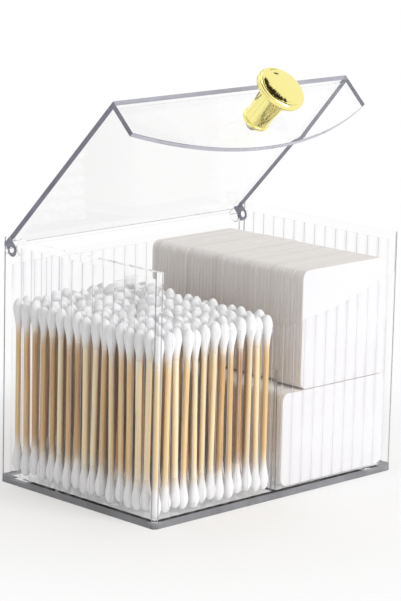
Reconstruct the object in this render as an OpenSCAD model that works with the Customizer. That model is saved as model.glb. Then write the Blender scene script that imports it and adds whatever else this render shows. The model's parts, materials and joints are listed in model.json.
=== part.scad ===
// Clear two-compartment holder for cotton swabs and pads, with a hinged lid and a knob.
// Millimetres, +Z up. Origin: centre of the footprint, at the bottom of the feet.
// +X is to the right and -Y is the front, where the lid's flange hangs.

/* [Tray] */
// Outer width of the tray
box_w = 142; // [110:1:180]
// Outer depth of the tray
box_d = 95; // [80:1:130]
// Height of the side walls above the table
box_h = 106; // [100:1:130]
// How far the front wall's two ends lie below the top of the side walls
front_drop = 16.7; // [10:0.1:25]
// How far the front wall's top edge dips at its middle
notch_depth = 15; // [6:0.5:25]
// Wall thickness at the plain rim
wall = 2.4; // [1.8:0.1:3]
// Thickness of the floor
floor_t = 3; // [2:0.1:4]
// Radius of the upright outer corners
corner_r = 2; // [0.5:0.1:2.3]

/* [Flutes] */
// Width of one flute
flute_w = 6.2; // [4:0.1:9]
// How far a flute swells from the wall
flute_rise = 0.3; // [0.1:0.05:1]
// Plain wall left between the flutes and each corner
flute_margin = 1.2; // [0.5:0.1:4]
// Plain rim left above the flutes on the side walls
rim_plain = 3.5; // [2:0.1:6]
// Plain rim left above the flutes on the rear wall
rear_rim_plain = 2.5; // [1:0.1:5]

/* [Divider] */
// Height of the divider above the floor
divider_h = 52; // [20:1:80]
// Thickness of the divider at its top edge
divider_top_t = 0.9; // [0.6:0.1:2]
// Thickness of the divider where it meets the floor
divider_base_t = 2.6; // [1.5:0.1:4]

/* [Feet] */
// Diameter of a foot
foot_d = 5; // [3:0.5:8]
// Height of a foot
foot_h = 0.6; // [0.3:0.1:1.5]
// Distance from a foot's centre to the two nearest outer faces
foot_inset = 7; // [5:0.5:15]

/* [Hinge] */
// Distance of the hinge axis in front of the rear outer face
hinge_back = 3.1; // [2.9:0.1:4]
// Distance of the hinge axis below the top of the side walls
hinge_drop = 5.4; // [5.2:0.1:6]
// Diameter of the lid's moulded pins
pin_d = 2.6; // [1.8:0.1:3]
// Radial clearance between a pin and its hole
pin_gap = 0.05; // [0.03:0.01:0.09]
// How far a pin's end stays inside the tray's outer face
pin_short = 0.3; // [0.1:0.1:1]
// Outer diameter of a knuckle
knuckle_d = 5.8; // [5:0.1:6]
// Width of a knuckle along the axis
knuckle_w = 5; // [3:0.5:10]
// Clearance between the knuckles and the top of the rear wall
rear_gap = 0.7; // [0.3:0.1:3]

/* [Lid] */
// Thickness of the lid's panel and flange
lid_t = 2.3; // [1.5:0.1:2.6]
// Clearance between the lid and each side wall
lid_side_gap = 0.5; // [0.3:0.1:1]
// How far the closed lid lies below the top of the side walls
lid_sink = 0.3; // [0:0.1:0.5]
// Clearance between the closed flange and the front wall
flange_gap = 0.4; // [0.3:0.1:1]
// How far the panel reaches behind the hinge axis
lid_tail = 2; // [0.5:0.1:2.2]
// How far the lid stands open
lid_open = 46; // [0:1:105]

/* [Knob] */
// Diameter of the knob's head
knob_d = 22; // [16:0.5:26]
// Length of the knob from the flange to the top of its dome
knob_l = 23; // [18:0.5:30]
// Distance of the knob's axis below the lid's top face
knob_drop = 17.5; // [13:0.5:19]
// Diameter of the base ring
ring_d = 12.2; // [11:0.1:14]
// Height of the base ring
ring_h = 1.8; // [1:0.1:3]
// Diameter of the stem above the base ring
stem_low_d = 11.4; // [9:0.1:12]
// Diameter of the stem below the head
stem_top_d = 13.2; // [12:0.1:15]
// Thickness of the head's rounded rim
rim_t = 3.6; // [2:0.1:5]
// Height of the flare between the stem and the head
flare_h = 2.6; // [1:0.1:4]
// Height of the dome on the head's face
dome_h = 1; // [0.2:0.1:2]

/* [Screw] */
// Diameter of the screw's shank
screw_d = 3; // [2.5:0.1:4]
// Length of the screw below its head
screw_l = 10; // [7:0.5:14]
// Diameter of the screw's head
screw_head_d = 5.6; // [5:0.1:8]
// Height of the screw's head
screw_head_h = 1.7; // [1:0.1:2.5]
// Radial clearance round the shank in the flange
screw_hole_gap = 0.15; // [0.1:0.05:0.3]
// Radial clearance round the shank in the knob
screw_bore_gap = 0.05; // [0.02:0.01:0.1]

/* [Swabs] */
// Overall length of a swab
swab_l = 75; // [60:1:80]
// Diameter of a stick
stick_d = 2.3; // [1.8:0.1:2.8]
// Largest diameter of a cotton tip
tip_d = 4.8; // [4:0.1:6]
// Length of a cotton tip
tip_l = 13; // [9:0.5:15]
// Diameter of a cotton tip where it ends on the stick
tip_neck_d = 2.9; // [2.6:0.1:3.5]
// Smallest space between neighbouring swabs
swab_gap = 0.3; // [0.2:0.05:1]
// Greatest extra height at which a swab stands
swab_lift = 1.8; // [0:0.1:3]

/* [Pads] */
// Thickness of one pad
pad_t = 1.75; // [1:0.05:3]
// Space between neighbouring pads
pad_gap = 0.12; // [0.1:0.02:0.5]
// Height of a lower pad
lower_pad_h = 40; // [25:1:50]
// Space between the lower pads and the divider's foot
lower_pad_side = 3.6; // [0.4:0.1:20]
// Space between the upper pads' front row and the divider's foot
upper_pad_side = 15.6; // [6:0.1:30]
// How far the upper pads end below the top of the side walls
pad_drop = 10.6; // [5:0.1:30]
// Radius of a pad's corners
pad_r = 3.5; // [1:0.5:8]
// Space between a stack and what stands round it
pad_room = 0.4; // [0.3:0.05:1]
// How far the upper stack leans to the left, front to back
pad_lean = 5; // [0:0.5:8]

/* [Hidden] */
eps = 1;

cav_w = box_w - 2 * wall;
cav_d = box_d - 2 * wall;
floor_z = foot_h + floor_t;

notch_r = (pow(cav_w / 2, 2) + pow(notch_depth, 2)) / (2 * notch_depth);
notch_cz = box_h - front_drop - notch_depth + notch_r;

hinge_y = box_d / 2 - hinge_back;
hinge_z = box_h - hinge_drop;
rear_h = hinge_z - knuckle_d / 2 - rear_gap;
lid_w = cav_w - 2 * lid_side_gap;
lid_reach = hinge_y + box_d / 2;
lid_top = hinge_drop - lid_sink;
knob_z = lid_top - knob_drop;

swab_span_x = cav_w / 2 - divider_base_t / 2 - flute_rise - swab_gap;
swab_span_y = cav_d - 2 * flute_rise - swab_gap;
swab_pitch = tip_d + swab_gap;
swab_cols = floor(swab_span_x / swab_pitch);
swab_rows = floor(swab_span_y / swab_pitch);

pad_pitch = pad_t + pad_gap;
pad_span = cav_d - 2 * flute_rise - 2 * pad_room;
pad_count = floor((pad_span + pad_gap) / pad_pitch);
pad_right = cav_w / 2 - flute_rise - pad_room;
lower_pad_w = pad_right - divider_base_t / 2 - lower_pad_side;
lower_pad_z = floor_z + pad_room;
upper_pad_w = pad_right - divider_base_t / 2 - upper_pad_side;
upper_pad_z = lower_pad_z + lower_pad_h + pad_room;
upper_pad_h = box_h - pad_drop - upper_pad_z;

steps = 6;

// Corner points of a rounded rectangle, counter-clockwise
function round_rect(w, h, r) = [
    for (q = [0:3])
        for (k = [0:steps])
            let (a = 90 * (q + k / steps))
            [
                (q == 0 || q == 3 ? 1 : -1) * (w / 2 - r) + r * cos(a),
                (q < 2 ? 1 : -1) * (h / 2 - r) + r * sin(a)
            ]
];

// Height of a flute's arc at distance s from its middle
function arc_rise(s, half, rise) =
    let (r = (half * half + rise * rise) / (2 * rise))
    sqrt(r * r - s * s) - (r - rise);

// Fluted edge of a wall: distance along the wall, and swell from it
function fluted_run(len) =
    let (
        n = floor((len - 2 * flute_margin) / flute_w),
        w = (len - 2 * flute_margin) / n
    )
    [
        for (i = [0:n - 1])
            for (k = [0:steps - 1])
                let (s = w * (k / steps - 0.5))
                [
                    -len / 2 + flute_margin + w * (i + k / steps),
                    arc_rise(s, w / 2, flute_rise)
                ]
    ];

// Plan of the cavity, with fluted sides
function cavity_plan() =
    let (fx = fluted_run(cav_w), fy = fluted_run(cav_d))
    concat(
        [[-cav_w / 2, -cav_d / 2]],
        [for (p = fx) [p[0], -cav_d / 2 + p[1]]],
        [[cav_w / 2 - flute_margin, -cav_d / 2], [cav_w / 2, -cav_d / 2]],
        [for (p = fy) [cav_w / 2 - p[1], p[0]]],
        [[cav_w / 2, cav_d / 2 - flute_margin], [cav_w / 2, cav_d / 2]],
        [for (p = fx) [-p[0], cav_d / 2 - p[1]]],
        [[-cav_w / 2 + flute_margin, cav_d / 2], [-cav_w / 2, cav_d / 2]],
        [for (p = fy) [-cav_w / 2 + p[1], -p[0]]],
        [[-cav_w / 2, -cav_d / 2 + flute_margin]]
    );

// Shape of the lid's lower opening: everything above an arc of radius r
module above_arc(r, w, y0, y1, top) {
    intersection() {
        translate([-w / 2, y0, notch_cz - r - eps])
            cube([w, y1 - y0, top - (notch_cz - r - eps)]);
        translate([0, y0 - eps, notch_cz])
            rotate([-90, 0, 0])
                cylinder(r = r, h = y1 - y0 + 2 * eps, $fn = 360);
    }
}

module tray_shell() {
    difference() {
        translate([0, 0, foot_h])
            linear_extrude(box_h - foot_h)
                polygon(round_rect(box_w, box_d, corner_r));
        // fluted inside
        translate([0, 0, floor_z])
            linear_extrude(box_h)
                polygon(cavity_plan());
        // plain rim round the side walls
        translate([-cav_w / 2, -cav_d / 2, box_h - rim_plain])
            cube([cav_w, cav_d, box_h]);
        // lower rear wall, and plain pockets beside the knuckles
        translate([-cav_w / 2, hinge_y - knuckle_d, rear_h])
            cube([cav_w, box_d, box_h]);
        translate([-cav_w / 2, hinge_y - knuckle_d, rear_h - rear_rim_plain])
            cube([cav_w, cav_d / 2 - hinge_y + knuckle_d, box_h]);
        // concave top edge of the front wall
        above_arc(notch_r, cav_w, -box_d / 2 - eps, -cav_d / 2 + flute_rise, box_h + eps);
    }
}

module divider() {
    translate([0, cav_d / 2 + wall / 2, floor_z - floor_t / 2])
        rotate([90, 0, 0])
            linear_extrude(cav_d + wall)
                polygon([
                    [-divider_base_t / 2, 0],
                    [divider_base_t / 2, 0],
                    [divider_base_t / 2, floor_t / 2],
                    [divider_top_t / 2, floor_t / 2 + divider_h],
                    [-divider_top_t / 2, floor_t / 2 + divider_h],
                    [-divider_base_t / 2, floor_t / 2]
                ]);
}

module feet() {
    for (sx = [-1, 1])
        for (sy = [-1, 1])
            translate([sx * (box_w / 2 - foot_inset), sy * (box_d / 2 - foot_inset), 0])
                cylinder(d = foot_d, h = foot_h + floor_t / 2, $fn = 48);
}

module tray() {
    color([0.88, 0.92, 0.96, 0.4])
        difference() {
            union() {
                tray_shell();
                divider();
                feet();
            }
            for (sx = [-1, 1])
                translate([sx * (box_w - wall) / 2, hinge_y, hinge_z])
                    rotate([0, 90, 0])
                        cylinder(d = pin_d + 2 * pin_gap, h = wall + 2 * eps, center = true, $fn = 48);
        }
}

// Puts a piece drawn about the hinge axis, with the lid shut, where it stands
module on_lid() {
    translate([0, hinge_y, hinge_z])
        rotate([-lid_open, 0, 0])
            children();
}

module knuckle(sx) {
    pin_l = lid_side_gap + wall - pin_short;
    translate([sx * (lid_w / 2 - knuckle_w / 2), 0, 0]) {
        rotate([0, 90, 0])
            cylinder(d = knuckle_d, h = knuckle_w, center = true, $fn = 64);
        translate([-knuckle_w / 2, -knuckle_d / 2, 0])
            cube([knuckle_w, knuckle_d / 2 + lid_tail, lid_top - lid_t / 2]);
    }
    translate([sx * (lid_w / 2 + (pin_l - knuckle_w / 2) / 2), 0, 0])
        rotate([0, 90, 0])
            cylinder(d = pin_d, h = pin_l + knuckle_w / 2, center = true, $fn = 48);
}

module lid() {
    color([0.88, 0.92, 0.96, 0.4])
        on_lid()
            difference() {
                union() {
                    translate([-lid_w / 2, -lid_reach, lid_top - lid_t])
                        cube([lid_w, lid_reach + lid_tail, lid_t]);
                    translate([0, -hinge_y, -hinge_z])
                        above_arc(
                            notch_r - flange_gap, lid_w,
                            -box_d / 2, -box_d / 2 + lid_t, hinge_z + lid_top
                        );
                    knuckle(-1);
                    knuckle(1);
                }
                translate([0, -lid_reach - eps, knob_z])
                    rotate([-90, 0, 0])
                        cylinder(d = screw_d + 2 * screw_hole_gap, h = lid_t + 2 * eps, $fn = 48);
            }
}

// Outline of the knob, radius and height, with the blind hole for its screw
function knob_outline() =
    let (
        bore_r = screw_d / 2 + screw_bore_gap,
        bore_l = screw_l - lid_t + 1,
        edge = 0.4,
        r0 = ring_d / 2,
        r1 = stem_low_d / 2,
        r2 = stem_top_d / 2,
        rr = rim_t / 2,
        r3 = knob_d / 2 - rr,
        z3 = knob_l - dome_h - rim_t,
        z2 = z3 - flare_h,
        z1 = ring_h + edge
    )
    concat(
        [[0, bore_l], [bore_r, bore_l], [bore_r, 0]],
        [[r0 - edge, 0], [r0, edge], [r0, ring_h - edge], [r0 - edge, ring_h], [r1, z1]],
        [for (t = [0.2:0.2:0.8]) [r1 + (r2 - r1) * t * t, z1 + (z2 - z1) * t]],
        [for (a = [0:18:72]) [r2 + (r3 - r2) * (1 - cos(a)), z2 + flare_h * sin(a)]],
        [for (a = [-90:22.5:90]) [r3 + rr * cos(a), z3 + rr + rr * sin(a)]],
        [for (t = [0.8:-0.2:0.2]) [r3 * t, z3 + rim_t + dome_h * (1 - t * t)]],
        [[0, knob_l]]
    );

module knob() {
    color([0.95, 0.76, 0.3])
        on_lid()
            translate([0, -lid_reach, knob_z])
                rotate([90, 0, 0])
                    rotate_extrude($fn = 96)
                        polygon(knob_outline());
}

module knob_screw() {
    color([0.75, 0.76, 0.78])
        on_lid()
            translate([0, -lid_reach + lid_t, knob_z])
                rotate([90, 0, 0]) {
                    cylinder(d = screw_d, h = screw_l, $fn = 48);
                    translate([0, 0, -screw_head_h])
                        cylinder(d = screw_head_d, h = screw_head_h, $fn = 48);
                }
}

// Places one child for each swab, at its own height
module at_swabs() {
    px = (swab_span_x - tip_d) / (swab_cols - 1);
    py = (swab_span_y - tip_d) / (swab_rows - 1);
    for (i = [0:swab_cols - 1])
        for (j = [0:swab_rows - 1])
            translate([
                -cav_w / 2 + flute_rise + swab_gap / 2 + tip_d / 2 + px * i,
                -swab_span_y / 2 + tip_d / 2 + py * j,
                floor_z + 0.3 + swab_lift * pow(sin(i * 47 + j * 71), 2)
            ])
                children();
}

module swab_sticks() {
    color([0.87, 0.72, 0.48])
        at_swabs()
            translate([0, 0, tip_l])
                cylinder(d = stick_d, h = swab_l - 2 * tip_l, $fn = 32);
}

// Outline of a cotton tip, rounded end down: radius and height
function tip_outline() =
    let (
        r = tip_d / 2,
        rn = tip_neck_d / 2,
        zb = 0.36 * tip_l
    )
    concat(
        [for (a = [-60:30:0]) [r * cos(a), zb + zb * sin(a) / sin(60)]],
        [for (a = [45, 90]) [rn + (r - rn) * cos(a), zb + (tip_l - zb) * a / 90]]
    );

module cotton_tip() {
    p = tip_outline();
    for (k = [0:len(p) - 2])
        translate([0, 0, p[k][1]])
            cylinder(r1 = p[k][0], r2 = p[k + 1][0], h = p[k + 1][1] - p[k][1], $fn = 32);
}

module low_tips() {
    color([0.97, 0.97, 0.97])
        at_swabs()
            cotton_tip();
}

module top_tips() {
    color([0.97, 0.97, 0.97])
        at_swabs()
            translate([0, 0, swab_l])
                rotate([180, 0, 0])
                    cotton_tip();
}

// One pad standing on edge, its face to the front
module pad(w, h) {
    translate([0, pad_t / 2, h / 2])
        rotate([90, 0, 0])
            linear_extrude(pad_t)
                polygon(round_rect(w, h, pad_r));
}

module lower_pads() {
    color([0.96, 0.96, 0.97])
        for (j = [0:pad_count - 1])
            translate([
                pad_right - lower_pad_w / 2,
                -pad_span / 2 + pad_t / 2 + pad_pitch * j,
                lower_pad_z
            ])
                pad(lower_pad_w, lower_pad_h);
}

module upper_pads() {
    color([0.96, 0.95, 0.94])
        for (j = [0:pad_count - 1])
            translate([
                pad_right - upper_pad_w / 2 - pad_lean * j / pad_count,
                -pad_span / 2 + pad_t / 2 + pad_pitch * j,
                upper_pad_z
            ])
                pad(upper_pad_w, upper_pad_h);
}

tray();
lid();
knob();
knob_screw();
swab_sticks();
low_tips();
top_tips();
lower_pads();
upper_pads();
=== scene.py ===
"""Clear lidded holder for cotton swabs and cotton pads, with a gold knob.

Lengths in the property groups are millimetres. -Y is the front, +Z is up, and the
origin is the centre of the footprint at the bottom of the feet.
"""

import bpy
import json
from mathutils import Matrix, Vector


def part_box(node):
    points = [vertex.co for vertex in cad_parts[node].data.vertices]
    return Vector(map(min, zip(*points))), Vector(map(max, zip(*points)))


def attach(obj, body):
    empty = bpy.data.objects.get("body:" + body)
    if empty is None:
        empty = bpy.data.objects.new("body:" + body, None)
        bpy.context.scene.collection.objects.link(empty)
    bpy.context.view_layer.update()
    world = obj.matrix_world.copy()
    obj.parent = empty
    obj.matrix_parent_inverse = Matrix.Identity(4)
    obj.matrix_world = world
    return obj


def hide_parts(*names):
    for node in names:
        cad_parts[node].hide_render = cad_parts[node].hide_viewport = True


bl_info = {
    "name": "Cotton Swab Holder",
    "version": (1, 0, 0),
    "blender": (4, 5, 0),
    "location": "View3D > Sidebar > Holder",
    "description": "Builds a clear swab and pad holder with its lid, knob and contents",
    "category": "Add Mesh",
}

import json
import math
import random

import bmesh
import bpy
from bpy.props import FloatProperty, FloatVectorProperty, IntProperty, PointerProperty
from mathutils import Matrix, Vector

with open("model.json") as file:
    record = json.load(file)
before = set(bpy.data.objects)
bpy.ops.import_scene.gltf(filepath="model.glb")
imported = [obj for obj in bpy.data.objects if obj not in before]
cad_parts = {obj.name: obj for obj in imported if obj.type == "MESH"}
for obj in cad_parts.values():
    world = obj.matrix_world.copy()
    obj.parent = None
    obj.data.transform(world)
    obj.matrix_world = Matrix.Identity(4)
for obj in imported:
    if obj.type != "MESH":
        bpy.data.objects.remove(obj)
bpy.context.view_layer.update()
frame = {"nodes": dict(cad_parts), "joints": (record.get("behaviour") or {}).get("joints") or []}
HINGE_POS = next(Vector(j["pos_m"]) for j in frame["joints"] if j["name"] == "lid_hinge")
TRAY_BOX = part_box("tray")


class HolderSizes(bpy.types.PropertyGroup):
    """Sizes of the holder and of what stands in it."""

    edge_round: FloatProperty(
        name="Edge round", description="Width of the small bevel on the plastic's edges, in mm",
        default=0.26, min=0.05, max=0.6)
    # line width and join width size strips of painted shade on the clear plastic
    line_w: FloatProperty(
        name="Line width", description="Half width of the lines along flutes and corners, in mm",
        default=0.14, min=0.05, max=0.5)
    join_w: FloatProperty(
        name="Join width", description="Width of the divider's dark line at the walls, in mm",
        default=1.0, min=0.3, max=4.0)
    corner_r: FloatProperty(
        name="Corner radius", description="Radius of the tray's upright corners, in mm",
        default=2.0, min=0.5, max=4.0)
    wall: FloatProperty(
        name="Wall", description="Thickness of the tray's walls, in mm", default=2.4, min=1.0, max=4.0)
    flute_rise: FloatProperty(
        name="Flute rise", description="How far a flute swells from its wall, in mm",
        default=0.3, min=0.1, max=1.5)
    floor_z: FloatProperty(
        name="Floor", description="Height of the tray's inner floor, in mm",
        default=3.6, min=1.0, max=8.0)
    divider_t: FloatProperty(
        name="Divider", description="Thickness of the divider at the floor, in mm",
        default=2.6, min=1.0, max=5.0)
    lid_open: FloatProperty(
        name="Lid angle", description="How far the lid stands open at rest, in degrees",
        default=46.0, min=0.0, max=105.0)
    lid_top: FloatProperty(
        name="Lid top", description="Height of the lid's top face above the hinge axis, in mm",
        default=5.1, min=2.0, max=8.0)
    lid_t: FloatProperty(
        name="Lid thickness", description="Thickness of the lid's panel and flange, in mm",
        default=2.3, min=1.0, max=4.0)
    lid_reach: FloatProperty(
        name="Lid reach", description="Distance from the hinge axis to the flange's face, in mm",
        default=91.9, min=60.0, max=130.0)
    knob_drop: FloatProperty(
        name="Knob drop", description="Distance of the knob's axis below the lid's top, in mm",
        default=17.5, min=8.0, max=24.0)
    knob_d: FloatProperty(
        name="Knob diameter", description="Diameter of the knob's head, in mm",
        default=22.0, min=12.0, max=30.0)
    knob_l: FloatProperty(
        name="Knob length", description="Length of the knob, in mm", default=23.0, min=15.0, max=32.0)
    swab_l: FloatProperty(
        name="Swab length", description="Overall length of a swab, in mm",
        default=75.0, min=60.0, max=80.0)
    stick_d: FloatProperty(
        name="Stick diameter", description="Diameter of a swab's stick, in mm",
        default=2.3, min=1.5, max=3.0)
    tip_d: FloatProperty(
        name="Tip diameter", description="Largest diameter of a cotton tip, in mm",
        default=4.8, min=3.5, max=6.5)
    tip_l: FloatProperty(
        name="Tip length", description="Length of a cotton tip, in mm", default=13.0, min=8.0, max=16.0)
    swab_gap: FloatProperty(
        name="Swab gap", description="Space between neighbouring swabs, in mm",
        default=0.3, min=0.1, max=1.0)
    swab_lift: FloatProperty(
        name="Swab lift", description="Greatest extra height of a swab, in mm",
        default=1.8, min=0.0, max=3.0)
    pad_t: FloatProperty(
        name="Pad thickness", description="Thickness of one pad, in mm", default=1.75, min=0.8, max=3.0)
    pad_gap: FloatProperty(
        name="Pad gap", description="Space between neighbouring pads, in mm",
        default=0.12, min=0.0, max=0.5)
    pad_r: FloatProperty(
        name="Pad corner", description="Radius of a pad's corners, in mm",
        default=3.5, min=1.0, max=8.0)
    pad_room: FloatProperty(
        name="Pad room", description="Space between a stack and what is beside it, in mm",
        default=0.4, min=0.2, max=1.0)
    pad_lean: FloatProperty(
        name="Pad lean", description="How far the upper stack leans from front to back, in mm",
        default=5.0, min=0.0, max=8.0)
    lower_pad_w: FloatProperty(
        name="Lower pad width", description="Width of a lower pad, in mm",
        default=63.0, min=40.0, max=65.0)
    lower_pad_h: FloatProperty(
        name="Lower pad height", description="Height of a lower pad, in mm",
        default=40.0, min=20.0, max=45.0)
    upper_pad_w: FloatProperty(
        name="Upper pad width", description="Width of an upper pad, in mm",
        default=51.0, min=40.0, max=60.0)
    upper_pad_h: FloatProperty(
        name="Upper pad height", description="Height of an upper pad, in mm",
        default=51.0, min=30.0, max=55.0)
    seed: IntProperty(
        name="Seed", description="Seed for how swabs and pads stand", default=7, min=0, max=999)


def hex_linear(code):
    """Linear colour of an sRGB hex code."""
    values = [int(code[i:i + 2], 16) / 255 for i in (0, 2, 4)]
    return tuple(v / 12.92 if v <= 0.04045 else ((v + 0.055) / 1.055) ** 2.4 for v in values)


def colour(name, description, code):
    """A colour property with its default as an sRGB hex code."""
    return FloatVectorProperty(
        name=name, description=description, subtype="COLOR", size=3, min=0.0, max=1.0,
        default=hex_linear(code))


class HolderColours(bpy.types.PropertyGroup):
    """Colours of the holder, its contents and the stage."""

    plastic: colour("Plastic", "Tint of the clear plastic", "FFFFFF")
    # painted shade: grey for the flutes' valleys, which the clear plastic shows only under light
    flute_painted_shade: colour("Plastic shade", "Clear plastic at the valleys between flutes", "EAE8EE")
    # painted shade: the greys of the lid's and tray's edges, which the clear plastic shows only under
    # light
    lid_edge_painted_light: colour("Lid light edge", "Lightest edges of the lid", "C4C4CE")
    lid_edge_painted_dark: colour("Lid dark edge", "Darkest edges of the lid", "4A4A5E")
    tray_edge_painted_light: colour("Tray light edge", "Lightest edges of the tray", "DADADF")
    tray_edge_painted_dark: colour("Tray dark edge", "Darkest edges of the tray", "46464A")
    gold: colour("Gold", "Plating of the knob", "FBF09C")
    screw: colour("Screw", "Zinc of the knob's screw", "C9CBD0")
    wood_light: colour("Light wood", "Palest sticks", "FFEFC8")
    wood_mid: colour("Wood", "Most sticks", "EFCB8E")
    wood_dark: colour("Dark wood", "Darkest sticks", "A8744A")
    cotton: colour("Cotton", "Cotton tips", "F4F4F5")
    pad: colour("Pads", "Faces of the pads", "EAE9EB")
    pad_edge: colour("Pad edge", "Cut edges of the pads", "F6F2EF")
    # greyer layers in the cut edges, and painted shade in the gaps between groups of pads
    pad_layer_and_gap_shade: colour("Pad shade", "Darker layers in the cut edges", "D9CFC7")
    card: colour("Card", "Dark studio cards that the gold mirrors", "33291A")
    card_tan: colour("Tan card", "Tan studio cards that the gold mirrors", "BCA680")
    floor: colour("Floor", "Floor and background", "FFFFFF")


def sizes():
    """Sizes set in the panel, in mm."""
    return bpy.context.scene.holder_sizes


def colours():
    """Colours set in the panel."""
    return bpy.context.scene.holder_colours


def m(value):
    """Millimetres to metres."""
    return value * 0.001


def add_node(tree, kind, settings=None, links=None):
    """Adds a node, sets its properties and sockets, and links its inputs."""
    node = tree.nodes.new(kind)
    for key, value in (settings or {}).items():
        if isinstance(key, str) and hasattr(node, key) and key not in node.inputs:
            setattr(node, key, value)
        else:
            node.inputs[key].default_value = value
    for key, source in (links or {}).items():
        tree.links.new(source, node.inputs[key])
    return node


def new_material(name, settings):
    """A material with one Principled shader. Returns the material, its tree and the shader."""
    material = bpy.data.materials.new(name)
    material.use_nodes = True
    tree = material.node_tree
    tree.nodes.clear()
    shader = add_node(tree, "ShaderNodeBsdfPrincipled", settings)
    add_node(tree, "ShaderNodeOutputMaterial", links={"Surface": shader.outputs["BSDF"]})
    return material, tree, shader


def rgba(value):
    """A colour as a shader socket takes it."""
    return (value[0], value[1], value[2], 1.0)


def clear_polystyrene(name):
    """Injection-moulded clear polystyrene: water-clear and glossy, with painted shade in the flutes'
    valleys.
    """
    material, tree, shader = new_material(name, {
        "Roughness": 0.0, "IOR": 1.045, "Transmission Weight": 1.0, "Coat Weight": 0.45,
        "Coat Roughness": 0.02, "Coat IOR": 1.5})
    tone = add_node(tree, "ShaderNodeAttribute", {"attribute_name": "tone"})
    place = add_node(tree, "ShaderNodeTexCoord")
    # the painted valley shade is stronger in some patches of 20 mm or so than in others, so that some
    # flutes show more than others
    uneven = add_node(
        tree, "ShaderNodeTexNoise", {"Scale": 55.0, "Detail": 1.0}, {"Vector": place.outputs["Object"]})
    strength = add_node(
        tree, "ShaderNodeMapRange", {"From Min": 0.3, "From Max": 0.7, "To Min": 0.15, "To Max": 1.0},
        {"Value": uneven.outputs["Fac"]})
    # painted shade in the flutes' valleys, as strong as the face's tone
    valley = add_node(
        tree, "ShaderNodeMath", {"operation": "MULTIPLY"},
        {0: tone.outputs["Fac"], 1: strength.outputs["Result"]})
    tint = add_node(
        tree, "ShaderNodeMix",
        {"data_type": "RGBA", 6: rgba(colours().plastic), 7: rgba(colours().flute_painted_shade)},
        {0: valley.outputs["Value"]})
    tree.links.new(tint.outputs[2], shader.inputs["Base Color"])
    return material


def polystyrene_painted_edge_shade(name, light, dark):
    """Edge of a clear sheet, which gathers the light of the whole sheet and looks slate grey: painted
    shade in its colour.
    """
    material, tree, shader = new_material(name, {
        "Roughness": 0.12, "IOR": 1.045, "Transmission Weight": 0.3, "Coat Weight": 0.5,
        "Coat Roughness": 0.05, "Coat IOR": 1.5})
    tone = add_node(tree, "ShaderNodeAttribute", {"attribute_name": "tone"})
    place = add_node(tree, "ShaderNodeTexCoord")
    # painted uneven light and shade in the sheet's edges, in patches from 15 mm down to 1 mm
    patch = add_node(
        tree, "ShaderNodeTexNoise", {"Scale": 70.0, "Detail": 5.0, "Roughness": 0.7},
        {"Vector": place.outputs["Object"]})
    total = add_node(
        tree, "ShaderNodeMath", {"operation": "MULTIPLY_ADD", 1: 0.5},
        {0: patch.outputs["Fac"], 2: tone.outputs["Fac"]})
    # painted shade: darker where the face's tone is higher
    shade = add_node(
        tree, "ShaderNodeMapRange", {"From Min": 0.25, "From Max": 1.25},
        {"Value": total.outputs["Value"]})
    tint = add_node(
        tree, "ShaderNodeMix", {"data_type": "RGBA", 6: rgba(light), 7: rgba(dark)},
        {0: shade.outputs["Result"]})
    tree.links.new(tint.outputs[2], shader.inputs["Base Color"])
    return material


def gold_plating():
    """Polished electroplated gold on zinc: a mirror with a very slight orange peel."""
    material, tree, shader = new_material("gold_plating_polished", {
        "Base Color": rgba(colours().gold), "Metallic": 1.0, "Roughness": 0.07})
    place = add_node(tree, "ShaderNodeTexCoord")
    # plating ripple about 2 mm apart
    peel = add_node(
        tree, "ShaderNodeTexNoise", {"Scale": 500.0, "Detail": 2.0},
        {"Vector": place.outputs["Object"]})
    bump = add_node(
        tree, "ShaderNodeBump", {"Strength": 0.03, "Distance": 0.0005},
        {"Height": peel.outputs["Fac"]})
    tree.links.new(bump.outputs["Normal"], shader.inputs["Normal"])
    return material


def zinc_steel():
    """Bright zinc on a small steel screw, with fine turning marks."""
    material, tree, shader = new_material("zinc_steel_bright", {
        "Base Color": rgba(colours().screw), "Metallic": 1.0, "Roughness": 0.25})
    place = add_node(tree, "ShaderNodeTexCoord")
    marks = add_node(
        tree, "ShaderNodeTexNoise", {"Scale": 2500.0, "Detail": 2.0},
        {"Vector": place.outputs["Object"]})
    rough = add_node(
        tree, "ShaderNodeMapRange", {"To Min": 0.18, "To Max": 0.36},
        {"Value": marks.outputs["Fac"]})
    tree.links.new(rough.outputs["Result"], shader.inputs["Roughness"])
    return material


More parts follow.
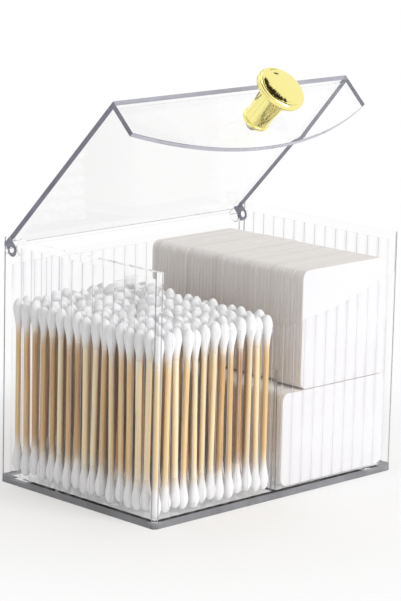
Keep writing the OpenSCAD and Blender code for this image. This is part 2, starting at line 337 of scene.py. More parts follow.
def birch_sticks():
    """Turned birch sticks, raw: each its own tan, with darker grain streaks along its length."""
    material, tree, shader = new_material("birch_raw_turned", {
        "Roughness": 0.62, "Specular IOR Level": 0.3})
    place = add_node(tree, "ShaderNodeTexCoord")
    tone = add_node(tree, "ShaderNodeAttribute", {"attribute_name": "tone"})
    # grain 0.4 mm across and about 30 mm long
    stretch = add_node(
        tree, "ShaderNodeMapping", {"Scale": (2500.0, 2500.0, 33.0)},
        {"Vector": place.outputs["Object"]})
    grain = add_node(
        tree, "ShaderNodeTexNoise", {"Scale": 1.0, "Detail": 3.0, "Roughness": 0.6},
        {"Vector": stretch.outputs["Vector"]})
    mixed = add_node(
        tree, "ShaderNodeMath", {"operation": "MULTIPLY_ADD", 1: 0.7, 2: -0.2},
        {0: grain.outputs["Fac"]})
    total = add_node(
        tree, "ShaderNodeMath", {"operation": "MULTIPLY_ADD", 1: 0.8},
        {0: tone.outputs["Fac"], 2: mixed.outputs["Value"]})
    ramp = add_node(tree, "ShaderNodeValToRGB", links={"Fac": total.outputs["Value"]})
    ramp.color_ramp.elements[0].color = rgba(colours().wood_light)
    ramp.color_ramp.elements[0].position = 0.12
    ramp.color_ramp.elements[1].color = rgba(colours().wood_dark)
    ramp.color_ramp.elements[1].position = 1.0
    ramp.color_ramp.elements.new(0.5).color = rgba(colours().wood_mid)
    # lint from the tips dusts the last few millimetres of each stick
    dust = add_node(tree, "ShaderNodeAttribute", {"attribute_name": "along"})
    dusted = add_node(
        tree, "ShaderNodeMix", {"data_type": "RGBA", 7: rgba(colours().cotton)},
        {0: dust.outputs["Fac"], 6: ramp.outputs["Color"]})
    bump = add_node(
        tree, "ShaderNodeBump", {"Strength": 0.25, "Distance": 0.0002},
        {"Height": grain.outputs["Fac"]})
    tree.links.new(dusted.outputs[2], shader.inputs["Base Color"])
    tree.links.new(bump.outputs["Normal"], shader.inputs["Normal"])
    return material


def wound_cotton():
    """Bleached cotton wool wound on a stick: matt, slightly fuzzy, with fibre strands."""
    material, tree, shader = new_material("cotton_wool_wound", {
        "Roughness": 0.95, "Specular IOR Level": 0.15,
        "Sheen Weight": 0.25, "Sheen Roughness": 0.6, "Subsurface Weight": 0.25,
        "Subsurface Radius": (0.001, 0.001, 0.001), "Subsurface Scale": 0.6})
    place = add_node(tree, "ShaderNodeTexCoord")
    # strands 0.5 mm apart, drawn coarser than the fibres so that they show
    strands = add_node(
        tree, "ShaderNodeTexNoise", {"Scale": 2000.0, "Detail": 4.0, "Roughness": 0.65},
        {"Vector": place.outputs["Object"]})
    # tufts 2.5 mm across
    tufts = add_node(
        tree, "ShaderNodeTexNoise", {"Scale": 420.0, "Detail": 2.0},
        {"Vector": place.outputs["Object"]})
    # the cotton thins out at its neck, where the wood shows through
    thin = add_node(tree, "ShaderNodeAttribute", {"attribute_name": "along"})
    tint = add_node(
        tree, "ShaderNodeMix",
        {"data_type": "RGBA", 6: rgba(colours().cotton), 7: rgba(colours().wood_mid)},
        {0: thin.outputs["Fac"]})
    tree.links.new(tint.outputs[2], shader.inputs["Base Color"])
    both = add_node(
        tree, "ShaderNodeMath", {"operation": "MULTIPLY_ADD", 1: 0.4},
        {0: strands.outputs["Fac"], 2: tufts.outputs["Fac"]})
    bump = add_node(
        tree, "ShaderNodeBump", {"Strength": 0.55, "Distance": 0.0006},
        {"Height": both.outputs["Value"]})
    tree.links.new(bump.outputs["Normal"], shader.inputs["Normal"])
    return material


def pressed_cotton():
    """Pressed cotton pad: soft matt white faces, and cut edges that show greyer layers and painted shade
    between groups of pads.
    """
    material, tree, shader = new_material("cotton_pad_pressed", {
        "Roughness": 0.95, "Specular IOR Level": 0.12, "Sheen Weight": 0.15,
        "Sheen Roughness": 0.5, "Subsurface Weight": 0.3,
        "Subsurface Radius": (0.002, 0.002, 0.002), "Subsurface Scale": 0.8})
    place = add_node(tree, "ShaderNodeTexCoord")
    tone = add_node(tree, "ShaderNodeAttribute", {"attribute_name": "tone"})
    # how much of a cut edge this is: the pads' flat faces look along Y
    axes = add_node(tree, "ShaderNodeSeparateXYZ", links={"Vector": place.outputs["Normal"]})
    facing = add_node(tree, "ShaderNodeMath", {"operation": "ABSOLUTE"}, {0: axes.outputs["Y"]})
    rim = add_node(
        tree, "ShaderNodeMapRange", {"From Min": 0.2, "From Max": 0.9, "To Min": 1.0, "To Max": 0.0},
        {"Value": facing.outputs["Value"]})
    # layers of the sheet, 0.5 mm apart along Y
    squeeze = add_node(
        tree, "ShaderNodeMapping", {"Scale": (25.0, 1900.0, 25.0)}, {"Vector": place.outputs["Object"]})
    layers = add_node(
        tree, "ShaderNodeTexNoise", {"Scale": 1.0, "Detail": 3.0, "Roughness": 0.6},
        {"Vector": squeeze.outputs["Vector"]})
    # felt grain about 0.6 mm across
    felt = add_node(
        tree, "ShaderNodeTexNoise", {"Scale": 1600.0, "Detail": 4.0, "Roughness": 0.6},
        {"Vector": place.outputs["Object"]})
    # the cut edges' layers, plus painted shade from the pads' tone at the gaps between groups
    shade = add_node(
        tree, "ShaderNodeMath", {"operation": "MULTIPLY_ADD", 1: 0.35},
        {0: layers.outputs["Fac"], 2: tone.outputs["Fac"]})
    cut_edge = add_node(
        tree, "ShaderNodeMix",
        {"data_type": "RGBA", 6: rgba(colours().pad_edge), 7: rgba(colours().pad_layer_and_gap_shade)},
        {0: shade.outputs["Value"]})
    tint = add_node(
        tree, "ShaderNodeMix", {"data_type": "RGBA", 6: rgba(colours().pad)},
        {0: rim.outputs["Result"], 7: cut_edge.outputs[2]})
    both = add_node(
        tree, "ShaderNodeMath", {"operation": "MULTIPLY_ADD", 1: 0.5},
        {0: felt.outputs["Fac"], 2: layers.outputs["Fac"]})
    bump = add_node(
        tree, "ShaderNodeBump", {"Strength": 0.3, "Distance": 0.0004},
        {"Height": both.outputs["Value"]})
    tree.links.new(tint.outputs[2], shader.inputs["Base Color"])
    tree.links.new(bump.outputs["Normal"], shader.inputs["Normal"])
    return material


def studio_card(name, value):
    """Matt card stock."""
    return new_material(name, {
        "Base Color": rgba(value), "Roughness": 0.9, "Specular IOR Level": 0.1})[0]


def seen_rays(tree):
    """1 for what the camera sees, straight or in glass and metal, and 0 for light on a surface."""
    path = add_node(tree, "ShaderNodeLightPath")
    straight = add_node(
        tree, "ShaderNodeMath", {"operation": "MAXIMUM"},
        {0: path.outputs["Is Camera Ray"], 1: path.outputs["Is Transmission Ray"]})
    return add_node(
        tree, "ShaderNodeMath", {"operation": "MAXIMUM"},
        {0: straight.outputs["Value"], 1: path.outputs["Is Glossy Ray"]})


def painted_floor():
    """Matt white studio floor, lit from within where it is clear of the holder's shadow."""
    material, tree, shader = new_material("studio_floor_matt", {
        "Base Color": rgba(colours().floor), "Roughness": 0.9, "Specular IOR Level": 0.0})
    place = add_node(tree, "ShaderNodeTexCoord")
    reach = add_node(tree, "ShaderNodeVectorMath", {"operation": "LENGTH"}, {0: place.outputs["Object"]})
    away = add_node(
        tree, "ShaderNodeMapRange",
        {"From Min": 0.08, "From Max": 0.24, "To Min": 0.3, "interpolation_type": "SMOOTHSTEP"},
        {"Value": reach.outputs["Value"]})
    glow = add_node(
        tree, "ShaderNodeMath", {"operation": "MULTIPLY"},
        {0: away.outputs["Result"], 1: seen_rays(tree).outputs["Value"]})
    white = add_node(tree, "ShaderNodeEmission", {"Color": rgba(colours().floor)})
    blend = add_node(
        tree, "ShaderNodeMixShader", {},
        {0: glow.outputs["Value"], 1: shader.outputs["BSDF"], 2: white.outputs["Emission"]})
    tree.links.new(blend.outputs["Shader"], tree.nodes["Material Output"].inputs["Surface"])
    return material


def finish_piece(name, bm, body, nodes, material, sharp=30.0):
    """Makes an object of a bmesh, gives it its material and fixes it to its body and nodes."""
    mesh = bpy.data.meshes.new(name)
    bm.to_mesh(mesh)
    bm.free()
    mesh.shade_smooth()
    mesh.set_sharp_from_angle(angle=math.radians(sharp))
    mesh.materials.append(material)
    piece = bpy.data.objects.new(name, mesh)
    bpy.context.scene.collection.objects.link(piece)
    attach(piece, body)
    if nodes:
        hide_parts(*nodes)
    return piece


def finish_clear_piece(name, bm, body, sharp, edge_light, edge_dark):
    """Makes a clear piece of the body's own node, with a second material that paints shade on the
    sheet's edges.
    """
    piece = finish_piece(
        name, bm, body, [body], clear_polystyrene("polystyrene_clear_" + body), sharp=sharp)
    piece.data.materials.append(polystyrene_painted_edge_shade("polystyrene_painted_edge_shade_" + body, edge_light, edge_dark))
    piece.visible_shadow = False
    piece.visible_diffuse = False


def merged_copy(node):
    """The node's solid with its triangles merged into whole faces."""
    bm = bmesh.new()
    bm.from_mesh(frame["nodes"][node].data)
    bmesh.ops.remove_doubles(bm, verts=bm.verts, dist=2e-6)
    bmesh.ops.dissolve_limit(
        bm, angle_limit=math.radians(0.4), verts=bm.verts, edges=bm.edges,
        use_dissolve_boundaries=False)
    bm.faces.layers.float.new("tone")
    return bm


def cut(bm, faces, point, normal):
    """Splits faces along a plane, so that a strip of them can look different."""
    geom = set(faces)
    for face in faces:
        geom.update(face.edges)
        geom.update(face.verts)
    bmesh.ops.bisect_plane(
        bm, geom=list(geom), dist=1e-6, plane_co=point, plane_no=normal, use_snap_center=False,
        clear_outer=False, clear_inner=False)


def mark(bm, faces, tone):
    """Gives faces a tone of painted shade, and the material of a sheet's edge."""
    layer = bm.faces.layers.float["tone"]
    for face in faces:
        face[layer] = tone
        face.material_index = 1


def soften(bm, edges, width, tone, segments):
    """Rounds edges, and marks the narrow faces that this makes with a tone of painted shade."""
    made = bmesh.ops.bevel(
        bm, geom=edges, offset=m(width), offset_type="OFFSET", segments=segments, profile=0.5,
        affect="EDGES", clamp_overlap=True, material=-1)
    mark(bm, made["faces"], tone)


def folds(bm, low, high):
    """Edges whose two faces meet at between low and high degrees."""
    return [
        e for e in bm.edges
        if len(e.link_faces) == 2 and low < math.degrees(e.calc_face_angle(0.0)) <= high
    ]


def revolved(profile, steps):
    """A closed solid of revolution about Z from (radius, height) points in mm."""
    bm = bmesh.new()
    verts = [bm.verts.new((m(r), 0.0, m(z))) for r, z in profile]
    edges = [bm.edges.new(pair) for pair in zip(verts, verts[1:])]
    bmesh.ops.spin(
        bm, geom=verts + edges, cent=(0, 0, 0), axis=(0, 0, 1), dvec=(0, 0, 0),
        angle=math.tau, steps=steps, use_merge=True, use_duplicate=False)
    bmesh.ops.remove_doubles(bm, verts=bm.verts, dist=1e-7)
    bmesh.ops.recalc_face_normals(bm, faces=bm.faces)
    return bm


def lid_matrix():
    """From a frame about the hinge axis, with the lid shut, to where the lid stands."""
    return Matrix.Translation(HINGE_POS) @ Matrix.Rotation(-math.radians(sizes().lid_open), 4, "X")


def knob_matrix():
    """Puts a solid that stands on Z onto the flange's outer face."""
    s = sizes()
    seat = Matrix.Translation((0, m(-s.lid_reach), m(s.lid_top - s.knob_drop)))
    return lid_matrix() @ seat @ Matrix.Rotation(math.radians(90), 4, "X")


def arc(cx, cz, r, a0, a1, n):
    """Points of an arc, degrees from the radius direction."""
    return [
        (cx + r * math.cos(math.radians(a0 + (a1 - a0) * k / n)),
         cz + r * math.sin(math.radians(a0 + (a1 - a0) * k / n)))
        for k in range(n + 1)
    ]


def cavity():
    """Half width and half depth of the tray's inside, in mm."""
    wide = (TRAY_BOX[1].x - TRAY_BOX[0].x) * 500 - sizes().wall
    deep = (TRAY_BOX[1].y - TRAY_BOX[0].y) * 500 - sizes().wall
    return wide, deep


class MESH_OT_holder_tray(bpy.types.Operator):
    """Clear moulded tray with its fluted walls, divider, feet and hinge holes"""

    bl_idname = "mesh.holder_tray"
    bl_label = "Clear Tray"

    def execute(self, context):
        s = sizes()
        wide, deep = cavity()
        floor, corner, foot_h = m(s.floor_z), m(s.corner_r + 0.05), m(0.6)
        half_x, half_y = TRAY_BOX[1].x, (TRAY_BOX[1].y - TRAY_BOX[0].y) / 2

        def at_corner(point):
            return abs(point.x) > half_x - corner and abs(point.y) > half_y - corner

        bm = merged_copy("tray")
        cut(bm, bm.faces[:], (0, 0, floor), (0, 0, 1))
        centre = {f: f.calc_center_median() for f in bm.faces}
        divider = [
            f for f, c in centre.items()
            if abs(c.x) < m(s.divider_t) and c.z > floor and abs(f.normal.x) > 0.9]
        for side in (-1, 1):
            cut(bm, [f for f in divider if f.is_valid], (0, side * m(deep - s.join_w), 0), (0, 1, 0))
            divider = [
                f for f in bm.faces
                if abs(f.calc_center_median().x) < m(s.divider_t) and f.calc_center_median().z > floor
                and abs(f.normal.x) > 0.9]
        posts, band, joins = [], [], []
        for face in bm.faces:
            c, n = face.calc_center_median(), face.normal
            if foot_h < c.z < floor and max(abs(n.x), abs(n.y)) > 0.3:
                band.append(face)
            elif 0.1 < min(abs(n.x), abs(n.y)) < 0.2 and at_corner(c):
                posts.append(face)
        for face in divider:
            if abs(face.calc_center_median().y) > m(deep - s.join_w):
                joins.append(face)
        # painted shade: grey on the corners' tangent faces, the band round the floor and the divider's
        # joins
        mark(bm, posts, 0.3)
        mark(bm, band, 0.58)
        mark(bm, joins, 0.6)
        # a flute's face turns sideways by up to 0.16 toward its valleys, and gets painted shade there
        layer, steepest = bm.faces.layers.float["tone"], 0.16
        for face in bm.faces:
            c, n = face.calc_center_median(), face.normal
            if face.material_index == 0 and c.z > floor:
                if m(wide - 1) < abs(c.x) < m(wide) and abs(n.x) > 0.9:
                    face[layer] = min(1.0, abs(n.y) / steepest) ** 2.5
                elif m(deep - 1) < abs(c.y) < m(deep) and abs(n.y) > 0.9:
                    face[layer] = min(1.0, abs(n.x) / steepest) ** 2.5

        def outer(edge):
            return all(at_corner(v.co) for v in edge.verts)

        # painted shade: grey lines along the flutes' cusps and the corners' tangents, and on the rounded
        # sharp edges
        soften(bm, [e for e in folds(bm, 12, 50) if not outer(e)], s.line_w, 0.12, 1)
        tangent = [
            e for e in folds(bm, 5, 11)
            if outer(e) and abs(e.verts[0].co.z - e.verts[1].co.z) > m(1)]
        soften(bm, tangent, s.line_w * 1.3, 0.8, 1)
        soften(bm, folds(bm, 50, 180), s.edge_round, 0.95, 2)
        bmesh.ops.triangulate(bm, faces=[f for f in bm.faces if len(f.verts) > 4])
        finish_clear_piece(
            "clear_tray", bm, "tray", 17.0,
            colours().tray_edge_painted_light, colours().tray_edge_painted_dark)
        return {"FINISHED"}


class MESH_OT_holder_lid(bpy.types.Operator):
    """Clear moulded lid with its flange, knuckles and pins"""

    bl_idname = "mesh.holder_lid"
    bl_label = "Clear Lid"

    def execute(self, context):
        s = sizes()
        bm = merged_copy("lid")
        bm.transform(lid_matrix().inverted())
        bm.normal_update()
        under = m(s.lid_top - s.lid_t)
        cut(bm, bm.faces[:], (0, 0, under), (0, 0, 1))
        side = max(
            abs(f.calc_center_median().x) for f in bm.faces
            if abs(f.normal.x) > 0.9 and f.calc_area() > 1e-4)
        sides, strip, lower = [], [], []
        for face in bm.faces:
            c, n = face.calc_center_median(), face.normal
            if abs(n.x) > 0.9 and abs(abs(c.x) - side) < m(0.05):
                sides.append(face)
            elif n.y < -0.9 and c.z > under and c.y < m(1 - s.lid_reach):
                strip.append(face)
            elif n.z < -0.5 and c.y < m(s.lid_t + 0.05 - s.lid_reach) and c.z < under - m(1):
                lower.append(face)
        # painted shade: the lid's sides darkest, the flange's front strip mid grey, its underside light,
        # and grey on the rounded edges
        mark(bm, sides, 0.83)
        mark(bm, strip, 0.42)
        mark(bm, lower, 0.15)
        soften(bm, folds(bm, 40, 180), s.edge_round, 0.7, 2)
        bmesh.ops.triangulate(bm, faces=[f for f in bm.faces if len(f.verts) > 4])
        bm.transform(lid_matrix())
        finish_clear_piece(
            "clear_lid", bm, "lid", 20.0,
            colours().lid_edge_painted_light, colours().lid_edge_painted_dark)
        return {"FINISHED"}


class MESH_OT_holder_knob(bpy.types.Operator):
    """Gold mushroom knob with a base ring, flared stem and domed head"""

    bl_idname = "mesh.holder_knob"
    bl_label = "Gold Knob"

    def execute(self, context):
        s = sizes()
        edge, ring_r, ring_h, low_r, top_r = 0.5, 6.1, 1.8, 5.7, 6.6
        rim_r, flare_h, dome_h = 1.8, 2.6, 1.0
        bore_r, bore_h, base = 1.5, 8.7, 0.02
        head_z = s.knob_l - dome_h - 2 * rim_r
        flare_z, head_r = head_z - flare_h, s.knob_d / 2 - rim_r
        profile = [(0.0, bore_h), (bore_r, bore_h), (bore_r, base), (ring_r - edge, base)]
        profile += arc(ring_r - edge, edge, edge, -90, 0, 4)[1:]
        profile += arc(ring_r - edge, ring_h - edge, edge, 0, 90, 4)
        profile += [(low_r, ring_h + 0.1), (low_r, ring_h + 0.35)]
        profile += [
            (low_r + (top_r - low_r) * (k / 8) ** 2, ring_h + 0.4 + (flare_z - ring_h - 0.4) * k / 8)
            for k in range(1, 8)
        ]
        profile += [
            (top_r + (head_r - top_r) * (1 - math.cos(math.radians(a))),
             flare_z + flare_h * math.sin(math.radians(a)))
            for a in range(0, 90, 10)
        ]
        profile += arc(head_r, head_z + rim_r, rim_r, -90, 90, 16)
        profile += [
            (head_r * k / 10, head_z + 2 * rim_r + dome_h * (1 - (k / 10) ** 2))
            for k in range(9, -1, -1)
        ]
        bm = revolved(profile, 96)
        bm.transform(knob_matrix())
        finish_piece("gold_knob", bm, "lid", ["knob"], gold_plating(), sharp=50.0)
        return {"FINISHED"}


class MESH_OT_holder_screw(bpy.types.Operator):
    """Pan-head screw that holds the knob from inside the flange"""

    bl_idname = "mesh.holder_screw"
    bl_label = "Knob Screw"

    def execute(self, context):
        s = sizes()
        head_r, head_h, shank_r, length = 2.8, 1.7, 1.5, 10.0
        arm_r, hub_r, recess = 1.5, 0.5, 0.8
        profile = [
            (0.0, length), (shank_r - 0.4, length), (shank_r, length - 0.5), (shank_r, 0.0),
            (head_r, 0.0), (head_r, 1.0 - head_h)]
        profile += arc(head_r - 1.0, 1.0 - head_h, 1.0, 0, -90, 6)[1:]
        profile += [(arm_r, -head_h), (hub_r, -head_h), (0.0, -head_h)]
        bm = revolved(profile, 32)
        # cross recess: a hub and four arms pressed into the head
        cross = []
        for face in bm.faces:
            c = face.calc_center_median()
            out = math.hypot(c.x, c.y)
            arm = abs(math.sin(2 * math.atan2(c.y, c.x))) < 0.35
            if c.z < m(-head_h + 0.05) and (out < m(hub_r) or arm and out < m(arm_r)):
                cross.append(face)
        pressed = bmesh.ops.extrude_face_region(bm, geom=cross)["geom"]
        bmesh.ops.translate(
            bm, vec=(0, 0, m(recess)), verts=[v for v in pressed if isinstance(v, bmesh.types.BMVert)])
        bmesh.ops.delete(bm, geom=[f for f in cross if f.is_valid], context="FACES_ONLY")
        bm.transform(knob_matrix() @ Matrix.Translation((0, 0, m(-s.lid_t))))
        finish_piece("knob_fixing_screw", bm, "lid", ["knob_screw"], zinc_steel())
        return {"FINISHED"}


def swab_places():
    """Foot, lean and tone of each swab: the tray's grid, each with its own slight lean."""
    s = sizes()
    rng = random.Random(s.seed)
    wide, deep = cavity()
    span_x = wide - s.divider_t / 2 - s.flute_rise - s.swab_gap
    span_y = 2 * deep - 2 * s.flute_rise - s.swab_gap
    cols = int(span_x / (s.tip_d + s.swab_gap))
    rows = int(span_y / (s.tip_d + s.swab_gap))
    step_x, step_y = (span_x - s.tip_d) / (cols - 1), (span_y - s.tip_d) / (rows - 1)
    places = []
    for i in range(cols):
        for j in range(rows):
            lift = s.swab_lift * math.sin(math.radians(i * 47 + j * 71)) ** 2
            foot = Vector((
                -wide + s.flute_rise + s.swab_gap / 2 + s.tip_d / 2 + step_x * i,
                -span_y / 2 + s.tip_d / 2 + step_y * j,
                s.floor_z + 0.3 + lift))
            foot += Vector((
                rng.uniform(-0.4, 0.4) if 0 < i < cols - 1 else 0.0,
                rng.uniform(-0.4, 0.4) if 0 < j < rows - 1 else 0.0, 0.0))
            lean = (
                rng.uniform(-0.02, 0.02) if 0 < j < rows - 1 else 0.0,
                rng.uniform(-0.02, 0.02) if 0 < i < cols - 1 else 0.0)
            places.append((foot, lean, rng.random()))
    return places


def swab_matrix(foot, lean, middle):
    """Stands a swab at its foot and turns it slightly about its middle."""
    turn = Matrix.Rotation(lean[0], 4, "X") @ Matrix.Rotation(lean[1], 4, "Y")
    centre = Matrix.Translation((0, 0, m(middle)))
    return Matrix.Translation(foot * 0.001) @ centre @ turn @ centre.inverted()


def repeat_solid(proto, matrices, tones, along=None):
    """Joins a copy of the prototype for each matrix, each with its tone.

    along gives a value for a height in the prototype, in mm."""
    source = bpy.data.meshes.new("prototype")
    proto.to_mesh(source)
    proto.free()
    values = [along(v.co.z * 1000) if along else 0.0 for v in source.vertices]
    bm = bmesh.new()
    tone_layer = bm.verts.layers.float.new("tone")
    along_layer = bm.verts.layers.float.new("along")
    for matrix, tone in zip(matrices, tones):
        before = len(bm.verts)
        bm.from_mesh(source)
        bm.verts.ensure_lookup_table()
        fresh = [bm.verts[k] for k in range(before, len(bm.verts))]
        bmesh.ops.transform(bm, matrix=matrix, verts=fresh)
        for vert, value in zip(fresh, values):
            vert[tone_layer] = tone
            vert[along_layer] = value
    bpy.data.meshes.remove(source)
    return bm


class MESH_OT_holder_sticks(bpy.types.Operator):
    """Wooden sticks of the swabs"""

    bl_idname = "mesh.holder_sticks"
    bl_label = "Swab Sticks"

    def execute(self, context):
        s = sizes()
        places = swab_places()
        low, high = s.tip_l - 0.5, s.swab_l - s.tip_l + 0.5
        r, dusty = s.stick_d / 2, 6.0
        profile = [(0.0, low), (r, low), (r, low + 2.5), (r, low + dusty)]
        profile += [(r, high - dusty), (r, high - 2.5), (r, high), (0.0, high)]
        bm = repeat_solid(
            revolved(profile, 10), [swab_matrix(f, l, s.swab_l / 2) for f, l, _ in places],
            [t for _, _, t in places],
            lambda z: 0.6 * max(0.0, 1.0 - min(z - low, high - z) / dusty) ** 2)
        finish_piece(
            "wooden_sticks", bm, "tray", ["swab_sticks"], birch_sticks(), sharp=50.0)
        return {"FINISHED"}


class MESH_OT_holder_tips(bpy.types.Operator):
    """Cotton tips at both ends of the swabs"""

    bl_idname = "mesh.holder_tips"
    bl_label = "Cotton Tips"

    def execute(self, context):
        s = sizes()
        places = swab_places()
        rng = random.Random(s.seed + 1)
        r, neck, belly = s.tip_d / 2 + 0.12, s.stick_d / 2 + 0.12, 0.34 * s.tip_l
        profile = [(0.0, 0.0)]
        profile += [(r * math.cos(math.radians(a)), belly + belly * math.sin(math.radians(a)))
                    for a in (-68, -45, -22, 0)]
        for t in (0.2, 0.4, 0.6, 0.8, 1.0):
            blend = 0.5 + 0.5 * math.cos(math.pi * t ** 0.8)
            profile.append((neck + (r - neck) * blend, belly + (s.tip_l - belly) * t))
        profile.append((0.0, s.tip_l))
        material = wound_cotton()
        for name, node, top in (
                ("cotton_tips_low", "low_tips", False), ("cotton_tips_top", "top_tips", True)):
            matrices = []
            for foot, lean, _ in places:
                scale = rng.uniform(0.94, 1.02)
                shape = Matrix.Rotation(rng.uniform(0, math.tau), 4, "Z") @ Matrix.Diagonal(
                    (scale, rng.uniform(0.94, 1.02), 1.0, 1.0))
                if top:
                    flip = Matrix.Translation((0, 0, m(s.swab_l))) @ Matrix.Rotation(math.pi, 4, "X")
                    shape = flip @ shape
                matrices.append(swab_matrix(foot, lean, s.swab_l / 2) @ shape)
            bm = repeat_solid(
                revolved(profile, 10), matrices, [0.0] * len(matrices),
                lambda z: 0.55 * max(0.0, (z / s.tip_l - 0.62) / 0.38) ** 2)
            finish_piece(name, bm, "tray", [node], material, sharp=80.0)
        return {"FINISHED"}


def soft_pad(width, height, thick, corner):
    """One pad standing on edge at the origin's height, with rounded corners and soft rims."""
    bm = bmesh.new()
    middle = Matrix.Translation((0, 0, m(height / 2)))
    bmesh.ops.create_cube(
        bm, size=1.0, matrix=middle @ Matrix.Diagonal((m(width), m(thick), m(height), 1.0)))
    short = [e for e in bm.edges if abs(e.verts[0].co.y - e.verts[1].co.y) > m(thick) * 0.9]
    bmesh.ops.bevel(
        bm, geom=short, offset=m(corner), offset_type="OFFSET", segments=5, profile=0.5,
        affect="EDGES", clamp_overlap=True, material=-1)
    rims = [
        e for e in bm.edges
        if abs(e.verts[0].co.y - e.verts[1].co.y) < 1e-9 and e.calc_face_angle(0.0) > 1.0]
    bmesh.ops.bevel(
        bm, geom=rims, offset=m(thick * 0.09), offset_type="OFFSET", segments=2, profile=0.5,
        affect="EDGES", clamp_overlap=True, material=-1)
    return bm


def stack_of_pads(width, height, lean, base, seed, loose):
    """A row of pads from front to back, each a little out of line with the next."""
    s = sizes()
    rng = random.Random(seed)
    wide, deep = cavity()
    pitch = s.pad_t + s.pad_gap
    span = 2 * deep - 2 * s.flute_rise - 2 * s.pad_room
    count = int((span + s.pad_gap) / pitch)
    matrices, tones, group, left = [], [], 0.0, 0
    for j in range(count):
        if left == 0:
            left, group = rng.randint(6, 11), rng.uniform(-loose, loose)
            dark = rng.uniform(0.0, 0.2)
        left -= 1
        x = wide - s.flute_rise - s.pad_room - width / 2 - lean * j / count
        x += group - loose + rng.uniform(-0.05, 0.05) * loose
        y = -span / 2 + s.pad_t / 2 + pitch * j
        turn = Matrix.Rotation(rng.uniform(-0.002, 0.002) * loose, 4, "Y")
        matrices.append(Matrix.Translation((m(x), m(y), m(base + rng.uniform(0, 0.15)))) @ turn)
        # the last pad of each group is darker by 0.2: painted shade in the gap before the next group
        tones.append(dark + rng.uniform(0.0, 0.05) + (0.2 if left == 0 else 0.0))
    return repeat_solid(soft_pad(width, height, s.pad_t + s.pad_gap * 0.9, s.pad_r), matrices, tones)


class MESH_OT_holder_pads(bpy.types.Operator):
    """Two stacks of cotton pads standing on edge"""

    bl_idname = "mesh.holder_pads"
    bl_label = "Cotton Pads"

    def execute(self, context):
        s = sizes()
        material = pressed_cotton()
        low = s.floor_z + s.pad_room
        bm = stack_of_pads(s.lower_pad_w, s.lower_pad_h + 0.1, 0.0, low, s.seed + 2, 0.3)
        piece = finish_piece(
            "cotton_pads_lower", bm, "tray", ["lower_pads"], material, sharp=60.0)
        high = low + s.lower_pad_h + s.pad_room
        bm = stack_of_pads(s.upper_pad_w, s.upper_pad_h - 0.1, s.pad_lean, high, s.seed + 3, 0.9)
        piece = finish_piece(
            "cotton_pads_upper", bm, "tray", ["upper_pads"], material, sharp=60.0)
        return {"FINISHED"}


def studio_lamp(name, place, target, size, watts):
    """A square area lamp that faces the target."""
    data = bpy.data.lights.new(name, "AREA")
    data.shape = "SQUARE"
    data.size = size
    data.energy = watts
    lamp = bpy.data.objects.new(name, data)
    bpy.context.scene.collection.objects.link(lamp)
    lamp.location = place
    lamp.rotation_euler = (Vector(target) - Vector(place)).to_track_quat("-Z", "Y").to_euler()


def mirrored(normal, back):
    """Direction that a mirror with this normal shows to the camera."""
    return (normal * (2 * normal.dot(back)) - back).normalized()


def reflected_card(name, rows, material):
    """A studio card as a strip through rows of points. Only metal and gloss show it."""
    bm = bmesh.new()
    lines = [[bm.verts.new(p) for p in row] for row in rows]
    for low, high in zip(lines, lines[1:]):
        for k in range(len(low) - 1):
            bm.faces.new((low[k], low[k + 1], high[k + 1], high[k]))
    mesh = bpy.data.meshes.new(name)
    bm.to_mesh(mesh)
    bm.free()
    mesh.materials.append(material)
    card = bpy.data.objects.new(name, mesh)
    bpy.context.scene.collection.objects.link(card)
    for kind in ("camera", "diffuse", "transmission", "shadow", "volume_scatter"):
        setattr(card, "visible_" + kind, False)


def knob_cards(side, back):
    """Cards that the gold knob mirrors: a ragged one on its head's lower left, strips on its stem."""
    s = sizes()
    turn = lid_matrix().to_3x3()
    axis = turn @ Vector((0, -1, 0))
    head = knob_matrix() @ Vector((0, 0, m(s.knob_l)))
    right = (side - axis * side.dot(axis)).normalized()
    up = axis.cross(right)
    rng = random.Random(s.seed + 5)
    dark = studio_card("studio_card_dark", colours().card)
    pale = studio_card("studio_card_tan", colours().card_tan)

    def head_card(name, start, end, inner, outer, tilt, jag, material):
        """Darkens the head from start to end degrees, inner to outer on a surface with this tilt."""
        rows = []
        for k in range(33):
            angle = math.radians(start + (end - start) * k / 32)
            out = right * math.cos(angle) + up * math.sin(angle)
            wave = math.sin(math.pi * k / 32) ** 0.6
            low = outer - (outer - inner) * wave + rng.uniform(0.0, jag) * wave
            rows.append([
                head + out * m(9.0) + mirrored((axis + out * tilt * t).normalized(), back) * 0.6
                for t in (low, outer)])
        reflected_card(name, rows, material)

    dome = 0.217
    head_card("card_head", 150, 325, 0.42, 1.15, dome, 0.22, dark)
    head_card("card_head_spot", 104, 122, 0.8, 0.95, dome, 0.0, dark)
    head_card("card_rim", 135, 250, 0.75, 1.0, 1.0, 0.0, dark)
    head_card("card_rim_low", 180, 330, 2.2, 3.6, 1.0, 0.4, pale)
    stem = knob_matrix() @ Vector((0, 0, m(s.knob_l * 0.4)))
    face = (back - axis * back.dot(axis)).normalized()
    # each streak on the stem: degrees round it, half width in degrees, card
    bands = (
        (-70, 5, dark), (-50, 4, pale), (-34, 1.2, dark), (-20, 4, pale), (4, 2, pale),
        (17, 1, dark), (36, 3, pale), (54, 1.5, dark))
    for number, (angle, width, material) in enumerate(bands):
        rows = []
        for turned in (angle - width, angle + width):
            a = math.radians(turned)
            way = mirrored(face * math.cos(a) + axis.cross(face) * math.sin(a), back)
            rows.append([stem + way * 0.5 + axis * reach for reach in (-0.2, 0.08)])
        reflected_card(f"card_stem_{number}", rows, material)


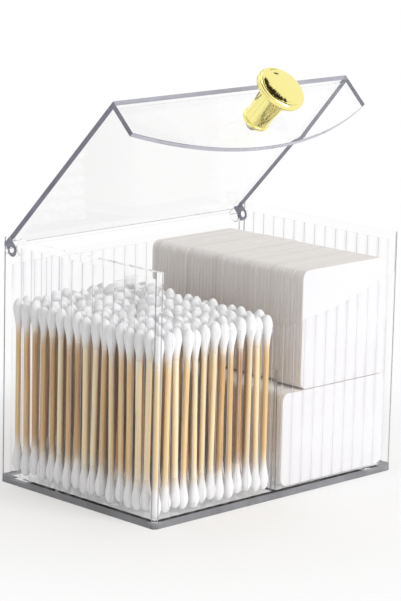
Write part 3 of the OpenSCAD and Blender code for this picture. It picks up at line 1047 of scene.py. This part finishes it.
def studio_camera(scene):
    """The camera at the photograph's angle. Returns its sideways and backward directions."""
    frame_w, focal_px, sensor = 401, 2845.65, 36.0
    data = bpy.data.cameras.new("studio_camera")
    data.sensor_fit = "HORIZONTAL"
    data.sensor_width = sensor
    data.lens = sensor * focal_px / frame_w
    data.clip_end = 50.0
    camera = bpy.data.objects.new("studio_camera", data)
    scene.collection.objects.link(camera)
    azimuth, elevation, roll, distance = -0.7798, 0.2118, 0.0237, 1.32427
    back = Vector((
        math.sin(azimuth) * math.cos(elevation), -math.cos(azimuth) * math.cos(elevation),
        math.sin(elevation)))
    right = Vector((math.cos(azimuth), math.sin(azimuth), 0.0))
    up = back.cross(right)
    side = right * math.cos(roll) + up * math.sin(roll)
    top = -right * math.sin(roll) + up * math.cos(roll)
    turn = Matrix((side, top, back)).transposed().to_4x4()
    aim = Vector((0.07937, 0.08125, 0.053))
    camera.matrix_world = Matrix.Translation(aim + back * distance) @ turn
    scene.camera = camera
    return side, back


class SCENE_OT_holder_stage(bpy.types.Operator):
    """White floor, soft studio light, dark cards for the gold and the camera"""

    bl_idname = "scene.holder_stage"
    bl_label = "Stage"

    def execute(self, context):
        scene = context.scene
        bm = bmesh.new()
        bmesh.ops.create_grid(bm, x_segments=1, y_segments=1, size=6.0)
        mesh = bpy.data.meshes.new("studio_floor")
        bm.to_mesh(mesh)
        bm.free()
        mesh.materials.append(painted_floor())
        floor = bpy.data.objects.new("studio_floor", mesh)
        scene.collection.objects.link(floor)

        world = bpy.data.worlds.new("studio_white")
        scene.world = world
        world.use_nodes = True
        tree = world.node_tree
        tree.nodes.clear()
        strength = add_node(
            tree, "ShaderNodeMapRange", {"To Min": 0.54, "To Max": 1.0},
            {"Value": seen_rays(tree).outputs["Value"]})
        light = add_node(
            tree, "ShaderNodeBackground", {"Color": (1.0, 1.0, 1.0, 1.0)},
            {"Strength": strength.outputs["Result"]})
        add_node(tree, "ShaderNodeOutputWorld", links={"Surface": light.outputs["Background"]})

        studio_lamp("key_lamp", (0.3, -1.5, 0.9), (0, 0, 0.06), 0.8, 9.5)
        studio_lamp("low_lamp", (0.25, -1.3, 0.3), (0, 0, 0.05), 0.5, 3.8)
        studio_lamp("top_lamp", (0.1, 0.3, 1.6), (0, 0, 0.06), 1.0, 4.0)

        side, back = studio_camera(scene)
        knob_cards(side, back)
        scene.view_settings.view_transform = "Standard"
        return {"FINISHED"}


class VIEW3D_PT_holder(bpy.types.Panel):
    """Lists the holder's pieces, sizes and colours"""

    bl_label = "Cotton Swab Holder"
    bl_idname = "VIEW3D_PT_holder"
    bl_space_type = "VIEW_3D"
    bl_region_type = "UI"
    bl_category = "Holder"

    def draw(self, context):
        layout = self.layout
        for operator in OPERATORS:
            layout.operator(operator.bl_idname)
        for group in (context.scene.holder_sizes, context.scene.holder_colours):
            for name in group.__annotations__:
                layout.prop(group, name)


OPERATORS = (
    MESH_OT_holder_tray,
    MESH_OT_holder_lid,
    MESH_OT_holder_knob,
    MESH_OT_holder_screw,
    MESH_OT_holder_sticks,
    MESH_OT_holder_tips,
    MESH_OT_holder_pads,
    SCENE_OT_holder_stage,
)
CLASSES = (HolderSizes, HolderColours) + OPERATORS + (VIEW3D_PT_holder,)


def register():
    for cls in CLASSES:
        bpy.utils.register_class(cls)
    bpy.types.Scene.holder_sizes = PointerProperty(type=HolderSizes)
    bpy.types.Scene.holder_colours = PointerProperty(type=HolderColours)


def unregister():
    del bpy.types.Scene.holder_colours
    del bpy.types.Scene.holder_sizes
    for cls in reversed(CLASSES):
        bpy.utils.unregister_class(cls)


def main():
    register()
    bpy.ops.scene.holder_stage()
    bpy.ops.mesh.holder_tray()
    bpy.ops.mesh.holder_lid()
    bpy.ops.mesh.holder_knob()
    bpy.ops.mesh.holder_screw()
    bpy.ops.mesh.holder_sticks()
    bpy.ops.mesh.holder_tips()
    bpy.ops.mesh.holder_pads()


if __name__ == "__main__":
    main()
